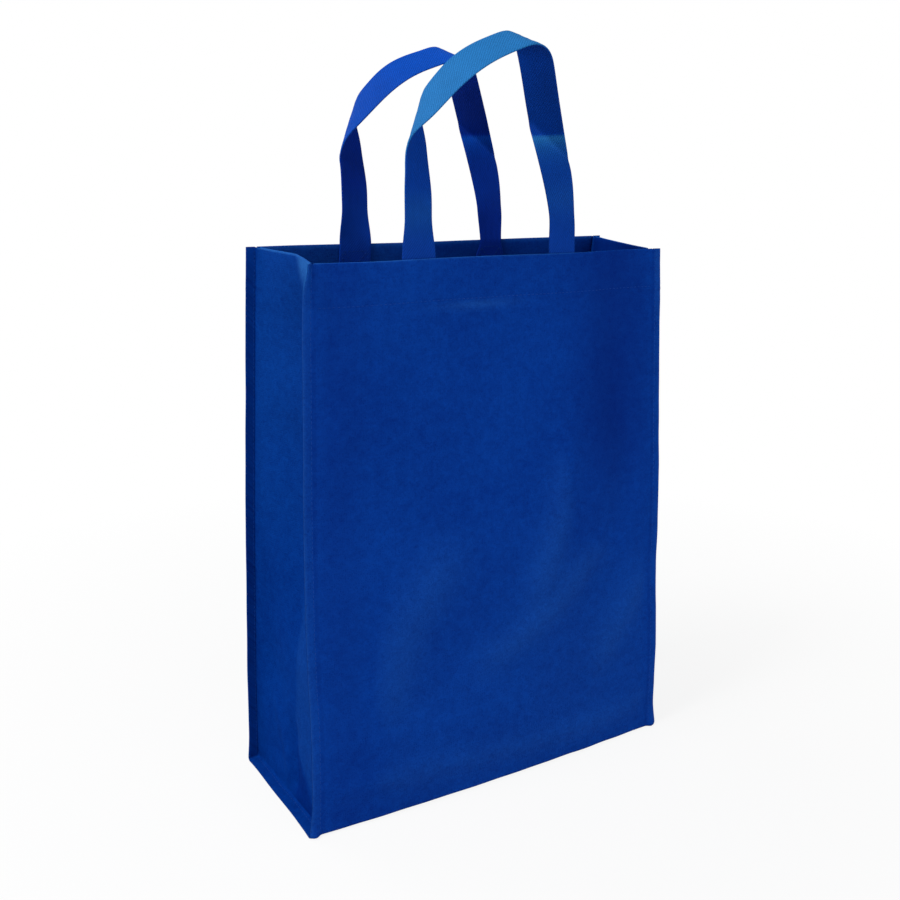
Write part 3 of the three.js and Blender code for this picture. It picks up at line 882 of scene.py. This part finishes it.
def foot_runs():
    """A square with a cross on each strap foot, sewn to the turned-in hem only."""
    runs = []
    inner, low = STRAP_WIDTH / 2 - FOOT_SEAM_IN, STRAP_FOOT - FOOT_SEAM_IN
    corners = [(-inner, FOOT_SEAM_TOP), (inner, FOOT_SEAM_TOP), (inner, low), (-inner, low)]
    pairs = [(0, 1), (1, 2), (2, 3), (3, 0), (0, 2), (1, 3)]
    for handle in HANDLES.values():
        for end in (-1, 1):
            for one, two in pairs:
                part = np.linspace(0, 1, 24)
                reach = corners[one][0] + (corners[two][0] - corners[one][0]) * part
                down = corners[one][1] + (corners[two][1] - corners[one][1]) * part
                line = foot_point(handle, end, reach, down, STRAP_INSET + STRAP_THICKNESS / 2)
                runs.append(lined(line, (0, -handle["side"], 0)))
    return runs


class Nodes:
    """Small helper for writing the node tree of a material or world."""

    def __init__(self, owner, shader="Principled BSDF"):
        owner.use_nodes = True
        self.tree = owner.node_tree
        self.shader = self.tree.nodes[shader]

    def add(self, kind, values=None, **settings):
        node = self.tree.nodes.new(kind)
        for key, value in settings.items():
            setattr(node, key, value)
        for key, value in (values or {}).items():
            if isinstance(value, bpy.types.NodeSocket):
                self.tree.links.new(value, node.inputs[key])
            else:
                node.inputs[key].default_value = value
        return node

    def math(self, operation, one, two):
        return self.add("ShaderNodeMath", {0: one, 1: two}, operation=operation).outputs[0]

    def sum_of(self, *parts):
        total = None
        for socket, weight in parts:
            if total is None:
                total = self.math("MULTIPLY", socket, weight)
            else:
                values = {0: socket, 1: weight, 2: total}
                total = self.add("ShaderNodeMath", values, operation="MULTIPLY_ADD").outputs[0]
        return total

    def ramp(self, value, low, high, start=0.0, end=1.0):
        values = {"Value": value, "From Min": low, "From Max": high, "To Min": start, "To Max": end}
        return self.add("ShaderNodeMapRange", values).outputs["Result"]

    def noise(self, vector, scale, **more):
        values = {"Vector": vector, "Scale": scale, **more}
        return self.add("ShaderNodeTexNoise", values).outputs["Fac"]

    def bump(self, height, strength, distance):
        values = {"Height": height, "Strength": strength, "Distance": distance}
        return self.add("ShaderNodeBump", values).outputs["Normal"]

    def cloth(self):
        """Place on the flat cloth, and the painted highlight (above 0) and painted shade (below 0) there."""
        painted_light = self.add("ShaderNodeAttribute", attribute_name="painted_light").outputs["Fac"]
        return self.add("ShaderNodeUVMap", uv_map="flat").outputs[0], painted_light

    def seen(self):
        """1 for what the camera sees straight on or through something clear."""
        path = self.add("ShaderNodeLightPath").outputs
        return self.math("MAXIMUM", path["Is Camera Ray"], path["Is Transmission Ray"])

    def blend(self, share, one, two):
        """Mix of two colours, on the colour sockets of the node."""
        return self.add("ShaderNodeMix", {0: share, 6: one, 7: two}, data_type="RGBA").outputs[2]

    def to_shader(self, **links):
        for key, socket in links.items():
            self.tree.links.new(socket, self.shader.inputs[key.replace("_", " ")])

    def constants(self, **values):
        for key, value in values.items():
            self.shader.inputs[key.replace("_", " ")].default_value = value

    def to_output(self, name, share, one, two):
        """Ends the tree in a mix of two shaders."""
        mix = self.add("ShaderNodeMixShader", {0: share, 1: one.outputs[0], 2: two.outputs[0]})
        self.tree.links.new(mix.outputs[0], self.tree.nodes[name].inputs["Surface"])


def shade(tone, strength):
    return tuple(strength * value for value in tone) + (1,)


def sheet_material(name, deep, light, pale, gloss):
    """Spunbond sheet: pressed dots in rows, loose fibres between them, cloudy web density, and painted
    highlights and painted shade stored on the piece.
    """
    material = bpy.data.materials.new(name)
    made = Nodes(material)
    flat, painted_light = made.cloth()
    dots = made.add("ShaderNodeTexVoronoi", {"Vector": flat, "Scale": 620.0, "Randomness": 0.6})
    pressed = made.ramp(dots.outputs["Distance"], 0.2, 0.5)
    fibres = made.noise(flat, 480.0, Detail=5.0, Roughness=0.75, Distortion=1.5)
    cloud = made.noise(flat, 120.0, Detail=5.0, Roughness=0.7)
    patch = made.noise(flat, 11.0, Detail=2.0)
    share = made.sum_of((pressed, 0.07), (fibres, 0.6), (cloud, 0.5), (patch, 0.35))
    web = made.blend(made.ramp(share, 0.54, 0.92), (*deep, 1), (*light, 1))
    loose = made.ramp(fibres, 0.05, 0.85)
    # Painted highlights, broken up by the fibres, and painted shade towards the painted shade colour
    is_pale = made.math("MULTIPLY", made.math("MAXIMUM", painted_light, 0.0), loose)
    is_deep = made.math("MULTIPLY", made.math("MINIMUM", painted_light, 0.0), -1.0)
    colour = made.blend(is_deep, made.blend(is_pale, web, (*pale, 1)), (*SHEET_PAINTED_SHADE, 1))
    rough = made.ramp(share, 0.45, 1.0, 0.78, 0.6)
    bump = made.bump(made.sum_of((pressed, 1.0), (fibres, 0.6)), 0.35, 0.0003)
    made.to_shader(Base_Color=colour, Roughness=rough, Normal=bump)
    made.constants(Specular_IOR_Level=gloss, Sheen_Weight=gloss, Sheen_Roughness=0.4)
    made.constants(Sheen_Tint=(0.1, 0.8, 0.9, 1))
    return material


def strap_material(name, inner, outer, length):
    """Pressed strap: fine slanted ribs, deep blue, with the outer colour as a painted highlight over the top
    of the loop on its first face, and painted highlights and painted shade along it.
    """
    material = bpy.data.materials.new(name)
    made = Nodes(material)
    flat, painted_light = made.cloth()
    parts = made.add("ShaderNodeSeparateXYZ", {0: flat}).outputs
    is_first = made.math("LESS_THAN", parts["X"], OTHER_FACE * MM / 2)
    ramps = [[share * length * MM for share in ramp] for ramp in (BAND_BEGINS, BAND_ENDS)]
    begins, ends = (made.ramp(parts["Y"], *ramp) for ramp in ramps)
    is_band = made.math("MULTIPLY", made.math("MULTIPLY", begins, ends), is_first)
    slant = made.add("ShaderNodeMapping", {"Vector": flat, "Rotation": (0, 0, math.radians(38))}).outputs[0]
    pressed = {"Vector": slant, "Scale": 210.0, "Distortion": 1.5, "Detail": 2.0, "Detail Scale": 2.0}
    ribs = made.add("ShaderNodeTexWave", pressed, wave_type="BANDS", bands_direction="X").outputs["Fac"]
    fibres = made.noise(flat, 1200.0, Detail=4.0, Roughness=0.7)
    cloud = made.noise(flat, 70.0, Detail=4.0)
    share = made.ramp(made.sum_of((ribs, 0.6), (cloud, 0.45), (fibres, 0.3)), 0.3, 1.1)
    faces = [made.blend(share, shade(tone, 0.8), shade(tone, 1.2)) for tone in (inner, outer)]
    # The band over the top of the loop takes the outer colour, a painted highlight
    plain = made.blend(is_band, *faces)
    # Painted shade towards a darker inner colour, painted highlight towards the band colour
    deeper = made.blend(made.math("MULTIPLY", painted_light, -1.0), plain, shade(inner, 0.4))
    colour = made.blend(made.math("MULTIPLY", painted_light, 0.95), deeper, faces[1])
    rough = made.ramp(share, 0.0, 1.0, 0.68, 0.52)
    bump = made.bump(made.sum_of((ribs, 1.0), (fibres, 0.4)), 0.5, 0.00025)
    made.to_shader(Base_Color=colour, Roughness=rough, Normal=bump)
    made.constants(Specular_IOR_Level=0.04, Sheen_Weight=0.02, Sheen_Roughness=0.4)
    made.constants(Sheen_Tint=(0.15, 0.9, 0.8, 1))
    return material


def thread_material(name, deep, light):
    """Spun thread: fine twist over the surface."""
    material = bpy.data.materials.new(name)
    made = Nodes(material)
    place = made.add("ShaderNodeTexCoord").outputs["Object"]
    ply = made.noise(place, 2600.0, Detail=3.0)
    colour = made.blend(ply, (*deep, 1), (*light, 1))
    rough = made.ramp(ply, 0.0, 1.0, 0.6, 0.42)
    made.to_shader(Base_Color=colour, Roughness=rough, Normal=made.bump(ply, 0.3, 0.0001))
    made.constants(Specular_IOR_Level=0.1)
    return material


# Colours
SHEET_DEEP, SHEET_LIGHT = (0.0002, 0.015, 0.153), (0.001, 0.036, 0.254)
GUSSET_DEEP, GUSSET_LIGHT = (0.0002, 0.015, 0.143), (0.001, 0.035, 0.238)
# SHEET_PALE is the colour of the painted highlights on the sheets, the colour after it that of their painted
# shade
SHEET_PALE, SHEET_PAINTED_SHADE = (0.03, 0.17, 0.5), (0.0003, 0.009, 0.12)
# The two straps are one cloth: their band colours are painted highlights, and the front and back colours
# differ by painted light
FRONT_INNER, FRONT_BAND_HIGHLIGHT = (0.0005, 0.031, 0.238), (0.0138, 0.126, 0.345)
BACK_INNER, BACK_BAND_HIGHLIGHT = (0.0004, 0.02, 0.24), (0.0022, 0.058, 0.385)
sheet_blue = sheet_material("sheet_blue", SHEET_DEEP, SHEET_LIGHT, SHEET_PALE, 0.02)
gusset_blue = sheet_material("gusset_blue", GUSSET_DEEP, GUSSET_LIGHT, SHEET_PALE, 0.003)
front_length, back_length = (handle["length"] for handle in HANDLES.values())
front_strap_blue = strap_material("front_strap_blue", FRONT_INNER, FRONT_BAND_HIGHLIGHT, front_length)
back_strap_blue = strap_material("back_strap_blue", BACK_INNER, BACK_BAND_HIGHLIGHT, back_length)
seam_blue = thread_material("seam_blue", (0.0012, 0.03, 0.22), (0.003, 0.046, 0.28))
hem_blue = thread_material("hem_blue", (0.0008, 0.024, 0.19), (0.002, 0.036, 0.24))

body = body_piece()
left_gusset = gusset_piece(-1)
right_gusset = gusset_piece(1)
straps = {name: strap_piece(name, handle) for name, handle in HANDLES.items()}
seam_thread = stitch_piece("seam_thread", seam_runs())
hem_thread = stitch_piece("hem_thread", hem_runs())
foot_thread = stitch_piece("foot_thread", foot_runs())

PLACES = [
    (body, sheet_blue, "sheet", ("front_base_back",)),
    (left_gusset, gusset_blue, "gusset_sheet", ("left_gusset",)),
    (right_gusset, gusset_blue, "gusset_sheet", ("right_gusset",)),
    (straps["front_strap"], front_strap_blue, "strap", ("front_handle",)),
    (straps["back_strap"], back_strap_blue, "strap", ("back_handle",)),
    (seam_thread, seam_blue, "sheet", ()),
    (hem_thread, hem_blue, "sheet", ()),
    (foot_thread, hem_blue, "strap", ()),
]
for piece, material, slot, nodes in PLACES:
    piece.data.materials.clear()
    piece.data.materials.append(material)
    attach(piece, "root")
    if nodes:
        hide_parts(*nodes)

# Floor: white to the camera, with a part of its own shading left so that the shadow stays
FLOOR_HALF, FLOOR_Z = 3000, -0.2
sides = ((-1, -1), (1, -1), (1, 1), (-1, 1))
floor_corners = [(a * FLOOR_HALF, b * FLOOR_HALF, FLOOR_Z) for a, b in sides]
floor = plain_mesh("floor", floor_corners, [(0, 1, 2, 3)], None)
floor_white = bpy.data.materials.new("floor_white")
made = Nodes(floor_white)
made.constants(Base_Color=(0.7, 0.7, 0.7, 1), Roughness=0.9)
glow = made.add("ShaderNodeEmission", {"Color": (1, 1, 1, 1), "Strength": 1.0})
place = made.add("ShaderNodeTexCoord").outputs["Object"]
away = made.add("ShaderNodeVectorMath", {0: place}, operation="LENGTH").outputs["Value"]
bright = made.math("MULTIPLY", made.seen(), made.ramp(away, 0.25, 0.75, 0.88, 1.0))
made.to_output("Material Output", bright, made.shader, glow)
floor.data.materials.append(floor_white)

# World: soft white room, white where the camera sees it
world = bpy.data.worlds.new("studio")
bpy.context.scene.world = world
made = Nodes(world, "Background")
made.constants(Color=(0.93, 0.96, 1.0, 1), Strength=0.32)
white = made.add("ShaderNodeBackground", {"Color": (1, 1, 1, 1), "Strength": 1.0})
made.to_output("World Output", made.seen(), made.shader, white)


def area_light(name, place, target, size, power):
    data = bpy.data.lights.new(name, "AREA")
    data.shape = "DISK"
    data.size = size
    data.energy = power
    lamp = link(name, data)
    lamp.location = place
    lamp.rotation_euler = (Vector(target) - Vector(place)).to_track_quat("-Z", "Y").to_euler()


area_light("key", (-1.2, -0.2, 1.92), (0, 0, 0.32), 0.7, 38.0)
area_light("front", (0.2, -1.9, 0.4), (0, 0, 0.2), 1.4, 20.0)
area_light("back", (-0.9, 1.6, 0.9), (0, 0, 0.25), 1.4, 11.0)

# Camera of the photograph: sizes in its pixels, angles in degrees
PHOTO_PX, FOCAL_PX, SHIFT_PX = 900.0, 1081.0, -68.0
SENSOR = 36.0
LOOKS_DOWN, LOOKS_RIGHT = 10.76, 31.03
camera_data = bpy.data.cameras.new("camera")
camera_data.sensor_width = SENSOR
camera_data.lens = FOCAL_PX * SENSOR / PHOTO_PX
camera_data.shift_y = SHIFT_PX / PHOTO_PX
camera = link("camera", camera_data)
camera.location = (-0.4101, -0.6712, 0.4388)
camera.rotation_euler = (math.radians(90 - LOOKS_DOWN), 0, math.radians(-LOOKS_RIGHT))
bpy.context.scene.camera = camera
bpy.context.scene.view_settings.view_transform = "Standard"
